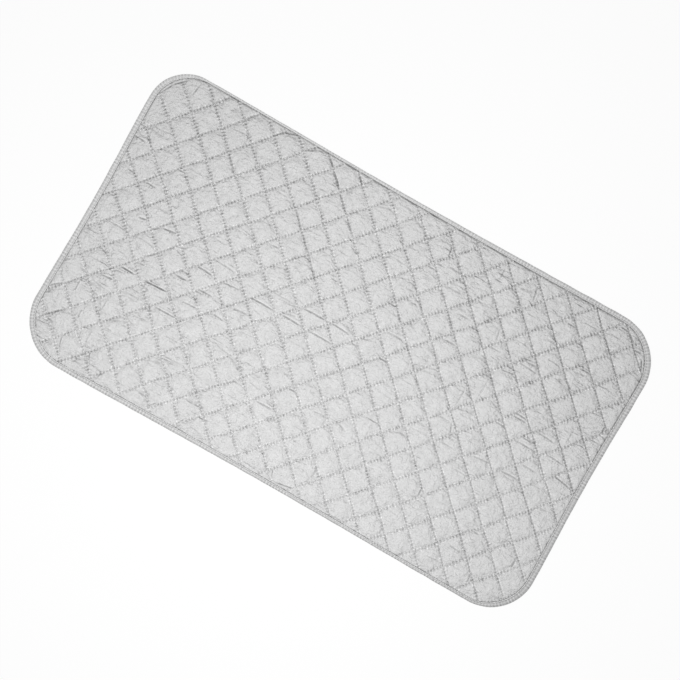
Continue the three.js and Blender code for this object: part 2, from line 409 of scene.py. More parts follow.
def finish_piece(piece, material, node_slot, *nodes):
    """Gives a piece its material, sets it on the frame and lets it stand for its nodes. Its node_slot is
    not used.
    """
    piece.data.materials.append(material)
    bpy.ops.object.select_all(action="DESELECT")
    piece.select_set(True)
    bpy.context.view_layer.objects.active = piece
    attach(piece, "root")
    if nodes:
        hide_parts(*nodes)
    triangles = sum(len(face.vertices) - 2 for face in piece.data.polygons)
    print(piece.name, "has", triangles, "triangles")


# %% [markdown]
# Silver-coated cloth: a plain polyester weave with a thin heat-reflecting coat, brushed on and cured.
# It gives the eye an even light grey with a soft gloss, a fine thready grain along and across the
# cloth, and faint mottling where the coat is thicker. The weave itself is finer than a pixel, so
# the grain is drawn about four times as coarse as the thread.

# %% Silver-coated cloth
GRAIN_LENGTH, GRAIN_WIDTH = 9.0 * MM, 1.6 * MM
CLOUD_SIZE = 10 * MM


def cloth_finish(name, colours, roughness, grain_depth):
    """Woven cloth between two colours, with a thready grain in its relief and cloudy patches."""
    material, tree = new_material(name)
    place = add_node(tree, "ShaderNodeTexCoord").outputs["Object"]
    clouds = add_node(tree, *NOISE, {
        "Vector": place, "Scale": 1 / CLOUD_SIZE, "Detail": 6.0, "Roughness": 0.65})
    tint = add_node(tree, "ShaderNodeMix", {"data_type": "RGBA"}, {
        "Factor": clouds.outputs["Fac"], 6: hex_colour(colours[0]), 7: hex_colour(colours[1])})
    threads = []
    for length, width in ((GRAIN_LENGTH, GRAIN_WIDTH), (GRAIN_WIDTH, GRAIN_LENGTH)):
        along = add_node(tree, "ShaderNodeMapping", inputs={
            "Vector": place, "Scale": (1 / length, 1 / width, 1 / GRAIN_WIDTH)})
        threads.append(add_node(tree, *NOISE, {"Vector": along, "Scale": 1.0, "Detail": 2.0}))
    weave = add_node(tree, *PLUS, [thread.outputs["Fac"] for thread in threads])
    grain = add_node(tree, *TIMES, (weave, grain_depth))
    relief = add_node(tree, "ShaderNodeBump", inputs={"Height": grain, "Distance": MM, "Strength": 1.0})
    surface = add_node(tree, "ShaderNodeBsdfPrincipled", inputs={
        "Base Color": tint.outputs[2], "Roughness": roughness, "Normal": relief})
    add_node(tree, "ShaderNodeOutputMaterial", inputs={"Surface": surface})
    return material, {"tree": tree, "place": place, "tint": tint, "grain": grain, "relief": relief,
                      "surface": surface}


silver_cloth, parts = cloth_finish("silver_coated_polyester_cloth", ("C8C8C8", "E8E8E8"), 0.5, 0.10)
print("plain finish of", len(parts["tree"].nodes), "nodes")

# %% [markdown]
# Sewing marks the coated cloth. Each stitch leaves a needle hole with a dimple round it, and the dark in
# the hole is painted shade. The narrow crack along a row lies in shade, painted into the colour, and short
# sharp creases form where a puff is pressed. All of that is finer than the mesh, so it is drawn in the
# relief and the colour. Seven UV maps made further down tell the shader where it is. Two count stitches
# along a row and millimetres away from it, one for each family. One holds the painted shade beside the tape
# and the distance from it. Four hold the long creases.

# %% Needle holes and dimples along a seam
ROW_STITCH = 4.92 * MM
HOLE, DIMPLE, DIMPLE_DEPTH = 1.0, 2.0, 0.4
# The needle holes are painted shade, and the pale marks are painted highlights.
HOLE_SHADE_COLOUR, HIGHLIGHT_COLOUR = "484848", "FAFAFA"


def map_values(tree, name):
    """The two values that a UV map holds."""
    uv = add_node(tree, "ShaderNodeUVMap", {"uv_map": name})
    axes = add_node(tree, "ShaderNodeSeparateXYZ", inputs=(uv,))
    return axes.outputs["X"], axes.outputs["Y"]


def sewn_marks(tree, seam_map):
    """Along and across a seam from its UV map, with the needle's holes from 0 to 1 and its dimples."""
    along, across = map_values(tree, seam_map)
    to_hole = add_node(tree, *TIMES, (add_node(tree, *TO_AND_FRO, (along, 0.5)), ROW_STITCH / MM))
    squared = add_node(tree, *TIMES_PLUS, (to_hole, to_hole, add_node(tree, *TIMES, (across, across))))
    away = add_node(tree, *ROOT, (squared,))
    hole = add_node(tree, *FADE, (away, 0.3 * HOLE, HOLE, 1.0, 0.0))
    dimple = add_node(tree, *FADE, (away, 0.0, DIMPLE, -DIMPLE_DEPTH, 0.0))
    return along, across, hole, dimple


def finish_marks(parts, height, shade, shade_colour, pale, hole):
    """Puts relief, painted shade, painted highlights and the painted shade of needle holes into a cloth's
    finish.
    """
    tree = parts["tree"]
    colour = parts["tint"].outputs[2]
    for share, code in ((shade, shade_colour), (pale, HIGHLIGHT_COLOUR), (hole, HOLE_SHADE_COLOUR)):
        colour = add_node(tree, "ShaderNodeMix", {"data_type": "RGBA"}, {
            "Factor": share, 6: colour, 7: hex_colour(code)}).outputs[2]
    tree.links.new(colour, parts["surface"].inputs["Base Color"])
    tree.links.new(height.outputs[0], parts["relief"].inputs["Height"])


print("holes", 2 * HOLE, "mm wide,", round(ROW_STITCH / MM, 2), "mm apart")

# %% [markdown]
# Along a row the thread gathers the cloth, the crack is darkest where it runs across the light, and one
# side of it lies in a wider shade; both shades are painted into the colour. Small spots beside the row are
# painted highlights, where the puckered cloth between the holes catches the light. Drawn from a picture
# these marks would repeat. Here they come from the distance to the row and from noise.

# %% Crinkles and sewn marks of the silver cloth
ROW_MAPS = ("falling_row", "rising_row")
TAPE_MAP = "tape_edge"
STITCHES_PER_CELL = 7.33
CRINKLE, CRINKLE_DEPTH = 6.0 * MM, 5.0
BEAD_AWAY, BEAD_PALE, HOLE_SHARE = 2.0, 1.0, 0.5
GATHER_DEPTH, GATHER_REACH = 0.4, 7.0
WANDER_SIZE, SPECK_SIZE = 14 * MM, 2.6 * MM
# The painted shade along each family's rows: how dark at the middle of the pad, and how much more at the
# right end.
ROW_SHADE = {"falling_row": (0.21, 0.30), "rising_row": (0.06, -0.14)}
tree, place = parts["tree"], parts["place"]
lengthwise = add_node(tree, "ShaderNodeMapping", inputs={
    "Vector": place, "Scale": (1 / (1.15 * CRINKLE), 1 / CRINKLE, 1 / CRINKLE)})
crinkle = add_node(tree, *NOISE, {
    "Vector": lengthwise, "Scale": 1.0, "Detail": 3.0, "Roughness": 0.6}).outputs["Fac"]
wander = add_node(tree, *NOISE, {"Vector": place, "Scale": 1 / WANDER_SIZE, "Detail": 1.0}).outputs["Fac"]
specks = add_node(tree, *NOISE, {"Vector": place, "Scale": 1 / SPECK_SIZE, "Detail": 1.5}).outputs["Fac"]
# Spots of painted highlight beside the rows.
highlight_spots = add_node(tree, *FADE, (specks, 0.5, 0.61, 0.0, 1.0))
uneven = add_node(tree, *FADE, (wander, 0.35, 0.65, 0.3, 1.6))
axes = add_node(tree, "ShaderNodeSeparateXYZ", inputs=(place,))
along_pad, across_pad = axes.outputs["X"], axes.outputs["Y"]
lean = add_node(tree, *FADE, (along_pad, -0.35, 0.35, -1.0, 1.0))
# The painted shade along the rows grows from the near side, under the softbox, to the far side.
far_side = add_node(tree, *FADE, (across_pad, -0.2, 0.2, 0.7, 1.15))
# Painted shade in the needle holes, patchy with the crinkles and stronger on the far side.
patchy_shade = add_node(tree, *TIMES, (add_node(tree, *FADE, (crinkle, 0.35, 0.65, 0.3, HOLE_SHARE)), far_side))
# Two opposite quarters of the pad, where along and across have the same sign, are the more wrinkled.
quarter = add_node(tree, *TIMES, (along_pad, across_pad))
wrinkled = add_node(tree, *FADE, (quarter, -0.005, 0.03, 0.6, 1.1))
height = add_node(tree, *TIMES_PLUS, (crinkle, CRINKLE_DEPTH, parts["grain"]))
shade, hole, pale = 0.0, 0.0, 0.0
marks = [sewn_marks(tree, row_map) for row_map in ROW_MAPS]
rows = [add_node(tree, *DIVIDED, (along, STITCHES_PER_CELL)) for along, *_ in marks]
shares = [add_node(tree, *FRACTION, (row,)) for row in rows]
cells = [add_node(tree, *WHOLE, (row,)) for row in rows]
# Stitches along one family count the rows of the other, so each row takes its side from the other map.
for (along, across, row_hole, dimple), beyond, row_map in zip(marks, shares[::-1], ROW_MAPS):
    middle, swing_of_light = ROW_SHADE[row_map]
    hole = add_node(tree, *LARGER, (hole, add_node(tree, *TIMES, (row_hole, patchy_shade))))
    height = add_node(tree, *PLUS, (height, dimple))
    swing = add_node(tree, *COSINE, (add_node(tree, *TIMES, (along, 2 * np.pi)),))
    ripple = add_node(tree, *TIMES, (swing, uneven))
    gather = add_node(tree, *TIMES, (ripple, add_node(tree, *FADE, (across, 1.0, GATHER_REACH, 1.0, 0.0))))
    height = add_node(tree, *TIMES_PLUS, (gather, -GATHER_DEPTH, height))
    dark = add_node(tree, *TIMES, (add_node(tree, *TIMES_PLUS, (lean, swing_of_light, middle)), far_side))
    hatch = add_node(tree, *TIMES_PLUS, (ripple, 0.17, 0.55))
    wide = add_node(tree, *TIMES, (add_node(tree, *TIMES_PLUS, (dark, -0.2, 0.5)), hatch))
    lit_side_strength = add_node(tree, *TIMES_PLUS, (lean, 0.35 * np.sign(swing_of_light), 0.45))
    lit_side = add_node(tree, *TIMES, (add_node(tree, *FADE, (beyond, 0.4, 0.6, 1.0, 0.0)), lit_side_strength))
    wide = add_node(tree, *TIMES, (add_node(tree, *MINUS, (far_side, lit_side)), wide))
    for near, far, darkness in ((0.4, 1.9, dark), (0.8, 4.6, wide)):
        band = add_node(tree, *TIMES, (add_node(tree, *FADE, (across, near, far, 1.0, 0.0)), darkness))
        shade = add_node(tree, *LARGER, (shade, band))
    from_bead = add_node(tree, *UNSIGNED, (add_node(tree, *MINUS, (across, BEAD_AWAY)),))
    beside = add_node(tree, *FADE, (from_bead, 0.3, 1.5, 1.0, 0.0))
    between = add_node(tree, *TIMES_PLUS, (swing, -0.3, 0.7))
    bead = add_node(tree, *TIMES, (add_node(tree, *TIMES, (beside, between)), highlight_spots))
    pale = add_node(tree, *LARGER, (pale, add_node(tree, *TIMES, (bead, BEAD_PALE))))
# Painted shade in the groove beside the tape, patchy along it.
tape_shade, off_tape = map_values(tree, TAPE_MAP)
beside_tape = add_node(tree, *TIMES, (tape_shade, add_node(tree, *FADE, (off_tape, 0.6, 2.6, 1.0, 0.0))))
beside_tape = add_node(tree, *TIMES, (beside_tape, add_node(tree, *FADE, (specks, 0.3, 0.7, 0.7, 1.2))))
shade = add_node(tree, *LARGER, (shade, beside_tape))
print("with sewn marks", len(tree.nodes), "nodes")

# %% [markdown]
# Short creases. Pressed cloth folds in small tucks in the far corner of a cell and in soft strokes along
# the pad. They could be sculpted, but there are hundreds and no two are alike. So a lot is cast for each
# cell to say if it has a tuck and how that tilts, and stretched noise gives the strokes.

# %% Short creases of the silver cloth
HALF_CELL = 25.3
BEND, TILT, PATCH_SIZE = 7.0, 0.5, 38 * MM
FOLD_WIDTH, FOLD_DEPTH, FOLD_SHADE = 2.6, 1.0, 0.15
# Strokes along the pad, fine and broad: length, width and depth.
STROKES = [(20 * MM, 4.6 * MM, 0.8), (48 * MM, 10 * MM, 2.8)]
# Tucks in the far corner of a cell: how far up they lie in millimetres, and the share of cells without.
TUCKS = [(20.5, 0.4), (16.0, 0.65), (11.0, 0.8)]
# In a cell, up counts towards its far corner and aside along the pad, both in millimetres.
up = add_node(tree, *TIMES, (add_node(tree, *MINUS, (add_node(tree, *PLUS, shares), 1.0)), HALF_CELL))
aside = add_node(tree, *TIMES, (add_node(tree, *MINUS, shares), HALF_CELL))
bend = add_node(tree, *TIMES, (add_node(tree, *MINUS, (wander, 0.5)), BEND))
for level, none in TUCKS:
    key = add_node(tree, "ShaderNodeCombineXYZ", inputs={"X": cells[0], "Y": cells[1], "Z": level})
    luck = add_node(tree, "ShaderNodeTexWhiteNoise", {"noise_dimensions": "3D"}, {"Vector": key})
    lots = add_node(tree, "ShaderNodeSeparateColor", inputs=(luck.outputs["Color"],))
    tilt = add_node(tree, *TIMES, (add_node(tree, *MINUS, (lots.outputs[0], 0.5)), TILT))
    above = add_node(tree, *PLUS, (add_node(tree, *MINUS, (up, level)), bend))
    off = add_node(tree, *TIMES_PLUS, (aside, tilt, above))
    room = HALF_CELL - level
    reach = add_node(tree, *FADE, (add_node(tree, *UNSIGNED, (aside,)), 0.6 * room, 1.1 * room, 1.0, 0.0))
    drawn = add_node(tree, *FADE, (lots.outputs[1], none, 1.0, 0.0, 1.0))
    chance = add_node(tree, *TIMES, (drawn, wrinkled))
    valley = add_node(tree, *FADE, (add_node(tree, *UNSIGNED, (off,)), 0.0, FOLD_WIDTH, 1.0, 0.0))
    valley = add_node(tree, *TIMES, (add_node(tree, *TIMES, (valley, reach)), chance))
    height = add_node(tree, *TIMES_PLUS, (valley, -FOLD_DEPTH, height))
    shade = add_node(tree, *LARGER, (shade, add_node(tree, *TIMES, (valley, FOLD_SHADE))))
patches = add_node(tree, *NOISE, {"Vector": place, "Scale": 1 / PATCH_SIZE, "Detail": 1.0}).outputs["Fac"]
patchy = add_node(tree, *TIMES, (add_node(tree, *FADE, (patches, 0.4, 0.6, 0.2, 1.0)), wrinkled))
for length, width, depth in STROKES:
    stretched = add_node(tree, "ShaderNodeMapping", inputs={
        "Vector": place, "Scale": (1 / length, 1 / width, 1 / width)})
    strokes = add_node(tree, *NOISE, {
        "Vector": stretched, "Scale": 1.0, "Detail": 1.0, "Distortion": 0.4}).outputs["Fac"]
    valley = add_node(tree, *TIMES, (add_node(tree, *FADE, (strokes, 0.25, 0.6, 1.0, 0.0)), patchy))
    height = add_node(tree, *TIMES_PLUS, (valley, -depth, height))
print("with short creases", len(tree.nodes), "nodes")

# %% [markdown]
# Long creases lie where the cloth was pressed hard. Each is a valley along a line, darkened with painted
# shade, with a painted highlight on the lip on the side that faces the light. A mesh fine enough to bend
# there would be far too heavy, so the maps tell the shader how deep the crease is and how far off its line
# a place lies. Creases that lie close go on different maps.

# %% Long creases of the silver cloth
CREASE_MAPS = ["creases_first", "creases_second", "creases_third", "creases_fourth"]
CREASE_WIDTH, CREASE_RELIEF, CREASE_SHADE, CREASE_PALE = 2.1, 0.6, 0.38, 0.28
for crease_map in CREASE_MAPS:
    depth, off = map_values(tree, crease_map)
    on_line = add_node(tree, *FADE, (add_node(tree, *UNSIGNED, (off,)), 0.0, CREASE_WIDTH, 1.0, 0.0))
    valley = add_node(tree, *TIMES, (depth, on_line))
    height = add_node(tree, *TIMES_PLUS, (valley, -CREASE_RELIEF, height))
    shade = add_node(tree, *LARGER, (shade, add_node(tree, *TIMES, (valley, CREASE_SHADE))))
    pale = add_node(tree, *TIMES, (pale, add_node(tree, *FADE, (valley, 0.2, 1.2, 1.0, 0.0))))
    from_lip = add_node(tree, *UNSIGNED, (add_node(tree, *MINUS, (off, CREASE_WIDTH)),))
    lip = add_node(tree, *FADE, (from_lip, 0.0, 1.5, 1.0, 0.0))
    lip = add_node(tree, *TIMES, (add_node(tree, *TIMES, (lip, depth)), CREASE_PALE))
    pale = add_node(tree, *LARGER, (pale, lip))
finish_marks(parts, height, shade, "909090", pale, hole)
print("finish", silver_cloth.name)

# %% [markdown]
# The face cloth. Quilted cloth puffs because more of it is sewn down than the flat area needs. A
# formula alone gives puffs that are all alike, so the cloth is simulated: the rows and the edge are
# pinned, the felt is a bed of weak pins, and the cloth was cut a little larger than the space it has. It
# then buckles into short folds of its own.

# %% The face cloth, flat and puffed
FACE_STEPS = 17
FACE_GRADING = 0.5
FACE_INSET = 3.0 * MM
PUCKER, PUCKER_REACH = 0.35 * MM, 4 * MM
FACE_RIPPLE, FACE_RIPPLE_LENGTH = 0.15 * MM, 7 * MM
# Long creases, read from the photograph: where each starts and ends, along and across the pad,
# and how deep it is, all in millimetres. The side on the left of its run catches the light.
CREASES = [
    (-388, -13, -355, -14, 1.6), (-338, -13, -300, -15, 0.7), (-353, 13, -336, 16, 1.9),
    (-329, 4, -314, 17, 1.4), (-316, 16, -288, 20, 1.9), (-340, 40, -312, 40, 0.4),
    (-290, 39, -262, 40, 0.7), (-246, 42, -215, 41, 0.8), (-195, 48, -165, 48, 0.5),
    (-242, -7, -212, -8, 1.7), (-196, -9, -167, -7, 1.7), (-152, -9, -104, -8, 2.2),
    (-100, -8, -57, -8, 1.6), (-51, -9, -4, -9, 1.7), (-97, -4, -74, 0, 1.0),
    (-266, -34, -239, -34, 1.9), (-222, -36, -196, -36, 1.8), (-165, -35, -137, -33, 1.1),
    (-262, -24, -242, -24, 1.4), (-65, -36, -35, -34, 0.5), (-320, -41, -285, -41, 0.5),
    (-339, -63, -314, -64, 3.0), (-299, -65, -258, -62, 3.3), (-236, -64, -205, -62, 1.5),
    (-186, -57, -164, -59, 1.4), (-141, -61, -114, -58, 0.8), (-360, -89, -337, -86, 1.9),
    (-316, -93, -290, -93, 0.9), (-267, -91, -229, -90, 1.9), (-292, -117, -264, -117, 0.9),
    (-226, 14, -184, 13, 1.0), (-161, 17, -76, 14, 0.9), (-75, 16, -30, 18, 1.5),
    (-27, 18, 9, 16, 1.7), (-33, -98, -19, -98, 1.9), (14, 7, 30, 6, 1.0),
    (61, 8, 76, 8, 1.8), (52, 47, 80, 48, 1.3), (-371, 207, -367, 231, 1.3),
    (-400, 143, -384, 141, 1.2), (-386, 141, -366, 145, 1.2), (-418, 116, -396, 115, 2.2),
    (-398, 126, -384, 110, 0.8), (-335, 104, -323, 104, 1.9), (-402, 68, -388, 67, 1.8),
    (-369, 64, -350, 63, 2.0), (-294, 196, -275, 198, 0.9), (-270, 201, -267, 189, 1.4),
    (-284, 164, -257, 136, 1.3), (-237, 216, -225, 230, 1.5), (-227, 229, -204, 236, 1.6),
    (-188, 219, -168, 232, 1.3), (-170, 231, -150, 236, 1.1), (-329, 228, -312, 236, 1.0),
    (-284, 221, -268, 235, 1.2), (-150, 233, -136, 220, 2.0), (-137, 220, -110, 195, 2.1),
    (-111, 194, -83, 168, 1.0), (-84, 168, -57, 142, 1.1), (-155, 139, -131, 116, 1.0),
    (-132, 116, -105, 90, 1.1), (-105, 90, -77, 61, 0.9), (-99, 233, -86, 219, 1.9),
    (-408, -188, -372, -153, 1.3), (-418, -142, -399, -125, 1.4), (-413, 190, -402, 210, 1.6),
    (-404, 208, -384, 227, 2.2), (-381, -111, -380, -130, 1.4), (-331, -112, -332, -135, 0.9),
    (-357, -146, -356, -162, 1.2), (-329, -165, -328, -190, 0.6), (-315, -195, -312, -207, 1.4),
    (-363, -196, -359, -212, 1.0), (-286, -214, -288, -229, 0.9), (-231, -120, -208, -121, 0.8),
    (-66, -138, -36, -138, 1.6), (-205, -229, -190, -212, 1.3), (-152, -228, -143, -214, 1.2),
    (-293, -173, -292, -184, 1.0), (0, 148, 28, 147, 0.8), (55, 150, 75, 149, 0.6),
    (97, 150, 126, 150, 1.0), (159, 154, 179, 153, 0.8), (52, 207, 73, 206, 1.0),
    (75, 207, 78, 190, 2.2), (160, 219, 160, 195, 1.2), (214, 218, 220, 192, 1.6),
    (197, 134, 201, 115, 1.0), (129, 79, 154, 80, 1.3), (61, 102, 73, 104, 1.2),
    (227, 82, 251, 85, 1.3), (244, 104, 279, 103, 1.5), (256, 111, 272, 111, 1.7),
    (192, 104, 218, 103, 1.2), (220, 131, 247, 131, 0.9), (260, 155, 281, 155, 0.7),
    (130, 123, 151, 123, 1.3), (229, 38, 257, 27, 0.5), (276, 44, 294, 43, 0.4),
    (274, 37, 300, 36, 2.0), (278, 32, 304, 31, 1.4), (258, 11, 278, 10, 1.4),
    (300, 11, 326, 9, 1.7), (295, 1, 339, 1, 1.3), (347, 6, 381, 4, 1.5),
    (373, -16, 410, -22, 1.9), (324, -25, 352, -26, 1.1), (250, -51, 285, -47, 1.3),
    (300, -49, 334, -48, 1.6), (205, -24, 210, -40, 1.2), (208, -40, 224, -39, 1.2),
    (180, -22, 204, -24, 0.9), (200, -55, 229, -56, 0.9), (316, 28, 355, 26, 1.3),
    (196, 34, 196, 2, 0.8), (219, 65, 219, 30, 0.8), (367, 60, 367, 34, 0.7),
    (280, 191, 294, 190, 1.7), (351, 225, 367, 223, 1.8), (365, 224, 383, 210, 2.0),
    (339, 208, 364, 207, 1.2), (329, 142, 349, 141, 1.3), (319, 132, 346, 136, 1.0),
    (279, 130, 304, 129, 1.1), (405, 86, 406, 72, 1.9), (383, 204, 399, 205, 1.9),
    (401, 199, 410, 182, 2.2), (294, 211, 311, 211, 0.8), (15, -109, 39, -108, 1.0),
    (56, -106, 72, -112, 1.1), (237, -81, 264, -81, 0.9), (63, -178, 63, -198, 1.0),
    (213, -127, 214, -145, 1.4), (6, -213, 11, -229, 1.3), (18, -231, 50, -225, 1.8),
    (265, -213, 292, -211, 1.0), (289, -182, 313, -184, 1.1), (309, -147, 323, -148, 1.5),
    (339, -202, 340, -218, 1.2), (386, -151, 386, -168, 1.4)]

face, on_row = lattice_sheet("face_cloth_quilted", FACE_STEPS, FACE_GRADING)
points = mesh_points(face)
plan = points[:, :2]
pucker = PUCKER * np.random.default_rng(SEED).uniform(0, 1, len(points))
free = np.minimum(row_distances(row_counts(plan)).min(axis=1) / PUCKER_REACH, 1)
clear = edge_depth(plan) > lip_width(plan) + TAPE_GAP
points[:, 2] = face_height(plan) + clear * pucker * (1 - free) ** 2
points[:, 2] += FACE_RIPPLE * clear * free * ripples(plan * (0.5, 1.0), FACE_RIPPLE_LENGTH, SEED)
set_mesh_points(face, points)
print("face cloth grid of", len(points), "points")

# %% Let the face cloth settle
HELD_FIRM, HELD_BY_FELT = 1.0, 0.05
EXTRA_CLOTH, FELT_PRESSURE = 0.018, 5.0
CAP_DOWN, CAP_UP = 0.6 * MM, 1.0 * MM
FRAMES = 12


def settle_cloth(piece, held, extra, pressure):
    """Runs Blender's cloth on a piece that was cut larger by extra, pinned by the held weights."""
    group = piece.vertex_groups.new(name="held")
    for weight in np.unique(held):
        group.add(np.nonzero(held == weight)[0].tolist(), float(weight), "REPLACE")
    cloth = piece.modifiers.new("settle", "CLOTH")
    cloth.settings.quality = 5
    cloth.settings.mass = 0.001
    cloth.settings.tension_stiffness = 15
    cloth.settings.compression_stiffness = 15
    cloth.settings.shear_stiffness = 5
    cloth.settings.bending_stiffness = 0.5
    cloth.settings.shrink_min = -extra
    cloth.settings.shrink_max = -extra
    cloth.settings.vertex_group_mass = group.name
    cloth.settings.use_pressure = True
    cloth.settings.uniform_pressure_force = pressure
    cloth.settings.effector_weights.gravity = 0
    cloth.collision_settings.use_collision = False
    cloth.point_cache.frame_end = FRAMES
    for step in range(1, FRAMES + 1):
        bpy.context.scene.frame_set(step)
    settled = piece.evaluated_get(bpy.context.evaluated_depsgraph_get())
    shape = mesh_points(settled)
    piece.modifiers.remove(cloth)
    piece.vertex_groups.clear()
    bpy.context.scene.frame_set(1)
    return shape


under_tape = edge_depth(plan) < lip_width(plan)
held = np.where(on_row | under_tape, HELD_FIRM, HELD_BY_FELT)
settled = settle_cloth(face, held, EXTRA_CLOTH, FELT_PRESSURE)
points = points + np.clip(settled - points, -CAP_DOWN, CAP_UP)
set_mesh_points(face, points)
print("face cloth now reaches", round(float(points[:, 2].max()) / MM, 2), "mm")

# %% [markdown]
# The settled cloth is cut to the outline. Then it gets the maps that its finish reads. They are measured on
# the pad before it is drawn in, where rows and creases have their plain places.

# %% Trim the face cloth and give it its finish
# A crease in millimetres: how far it reaches from its line, how far it is mapped, and how it wavers.
CREASE_REACH, CREASE_MARGIN, CREASE_WAVE, CREASE_WAVE_LENGTH = 3.4, 6.0, 0.3, 9
# A larger value takes a crease to its full depth nearer to its ends.
CREASE_ENDS = 5
# The painted shade in the dark groove beside the tape: its strength in the middle, towards the right and
# the far side, at both ends and on the two quarters where the cloth stands steep, then its width and how
# much less that is there.
GROOVE, GROOVE_LEAN, GROOVE_ENDS, GROOVE_STEEP = 0.68, (0.08, 0.27), 0.12, 0.12
GROOVE_WIDTH, GROOVE_NARROWER = 1.3, 0.2
SCALLOP, SCALLOP_SLOPE = 0.35, 2.5


def add_map(piece, name, along, across):
    """A UV map that carries two values for each point of the mesh."""
    corners = np.empty(len(piece.data.loops), np.int32)
    piece.data.loops.foreach_get("vertex_index", corners)
    values = np.column_stack([along, across])[corners]
    layer = piece.data.uv_layers.new(name=name)
    layer.data.foreach_set("uv", values.astype(np.float32).ravel())


def crease_values(plan):
    """For each map, the depth of the crease at each place and the millimetres from its line."""
    depths = np.zeros((len(CREASE_MAPS), len(plan)))
    offs = np.full(depths.shape, CREASE_MARGIN)
    taken = np.zeros(depths.shape, bool)
    for start_x, start_y, end_x, end_y, depth in CREASES:
        ahead = np.array([end_x - start_x, end_y - start_y])
        length = np.linalg.norm(ahead)
        from_start = plan / MM - (start_x, start_y)
        along = from_start @ ahead / length ** 2
        off = from_start @ (-ahead[1], ahead[0]) / length
        off = off - CREASE_WAVE * np.sin(along * length / CREASE_WAVE_LENGTH)
        mine = (np.abs(off) < CREASE_MARGIN) & (along > 0) & (along < 1)
        # Creases that lie close go on different maps, so that none cuts into another.
        at = int(np.argmin(taken[:, mine].sum(axis=1)))
        ends = np.clip(CREASE_ENDS * along * (1 - along), 0, 1)
        sides = np.clip(CREASE_REACH - np.abs(off), 0, 1)
        depths[at, mine] = (depth * ends * sides)[mine]
        offs[at, mine] = off[mine]
        taken[at, mine] = True
    return depths, offs


trim_sheet(face, FACE_INSET)
plan = mesh_points(face)[:, :2]
counts = row_counts(plan)
away = row_distances(counts) / MM
for family, row_map in enumerate(ROW_MAPS):
    add_map(face, row_map, counts[:, 1 - family] * STITCHES_PER_CELL, away[:, family])
across_pad = plan / HALF
steep = np.clip(-4 * across_pad.prod(axis=1), 0, 1)
groove = GROOVE + across_pad @ GROOVE_LEAN - GROOVE_ENDS * across_pad[:, 0] ** 2 + GROOVE_STEEP * steep
off_tape = np.maximum(edge_depth(plan) - lip_width(plan), 0) / MM
# The painted shade beside the tape changes with the cells: a puff that the tape cuts off stands high beside
# it, and the small corner between two puffs lies low.
inside = counts - np.floor(counts)
towards_far, towards_right = inside.sum(axis=1) - 1, inside[:, 0] - inside[:, 1]
beside_end = HALF[0] - np.abs(plan[:, 0]) < HALF[1] - np.abs(plan[:, 1])
towards_tape = np.where(beside_end, towards_right * np.sign(plan[:, 0]), towards_far * np.sign(plan[:, 1]))
scallop = 1.0 + SCALLOP * np.clip(SCALLOP_SLOPE * towards_tape, -1, 1)
add_map(face, TAPE_MAP, groove * scallop, off_tape / ((GROOVE_WIDTH - GROOVE_NARROWER * steep) * groove))
for crease_map, depth, off in zip(CREASE_MAPS, *crease_values(plan)):
    add_map(face, crease_map, depth, off)
print(len(CREASES), "creases on", len(CREASE_MAPS), "maps")
set_mesh_points(face, as_laid(mesh_points(face)))
bpy.ops.object.shade_smooth()
finish_piece(face, silver_cloth, "silver_coated_cloth", "face_cloth")

# %% [markdown]
# The back cloth closes the underside. It is sewn by the same rows, but the pad's weight presses its
# puffs flat on the table, so it shows wide flat cells with a shallow groove along each row.

# %% The back cloth
BACK_STEPS = 10
undyed_cloth, _ = cloth_finish("undyed_cotton_blend_cloth", ("D0CDC6", "E6E3DC"), 0.9, 0.12)
back, _ = lattice_sheet("back_cloth_quilted", BACK_STEPS, FACE_GRADING)
trim_sheet(back, FACE_INSET)
points = mesh_points(back)
points[:, 2] = back_height(points[:, :2])
set_mesh_points(back, points)
bpy.ops.object.mode_set(mode="EDIT")
bpy.ops.mesh.select_all(action="SELECT")
bpy.ops.mesh.flip_normals()
bpy.ops.object.mode_set(mode="OBJECT")
set_mesh_points(back, as_laid(mesh_points(back)))
bpy.ops.object.shade_smooth()
finish_piece(back, undyed_cloth, "back_cloth", "back_cloth")

# %% [markdown]
# The felt wadding fills the space between the two cloths. It never shows, but it is a real layer, so it
# is made as a closed body: one sheet doubled by Solidify, with its upper skin set just under the face
# cloth and its lower skin just above the back cloth.

# %% The felt wadding
FELT_STEPS = 8
FELT_INSET = 4.0 * MM
FELT_UNDER_FACE, FELT_SLACK, FELT_OVER_BACK = 0.5 * MM, 0.9 * MM, 0.3 * MM
felt_finish, _ = cloth_finish("needled_polyester_felt", ("E9E6DE", "F1EFE8"), 0.95, 0.3)
felt, _ = lattice_sheet("felt_wadding_needled", FELT_STEPS, 0.0)
trim_sheet(felt, FELT_INSET)
doubled = felt.modifiers.new("two_skins", "SOLIDIFY")
doubled.thickness = 1.0 * MM
doubled.offset = -1.0
bpy.ops.object.modifier_apply(modifier=doubled.name)
points = mesh_points(felt)
plan = points[:, :2]
upper = face_height(plan) - FELT_UNDER_FACE - FELT_SLACK * puff(plan, FACE_FLANK)
lower = back_height(plan) + FELT_OVER_BACK
points[:, 2] = np.where(points[:, 2] > -0.5 * MM, upper, lower)
set_mesh_points(felt, as_laid(points))
finish_piece(felt, felt_finish, "felt_wadding", "wadding")

# %% [markdown]
# The edge binding is a woven tape, folded over the edge and sewn down with both raw edges turned under.
# It could be a curve with a profile, but a curve can't pucker. Instead it is a long grid: one way it
# runs round the outline, the other way across the tape, from the turned-under hem over the lip, round
# the fold and under the pad to the other hem. Each stitch pulls it down a little, so it ripples.

# %% Walk round the outline
SEAM_STITCH = 5.0 * MM
CORNER_POINTS, WALK_STEPS = 90, 2000


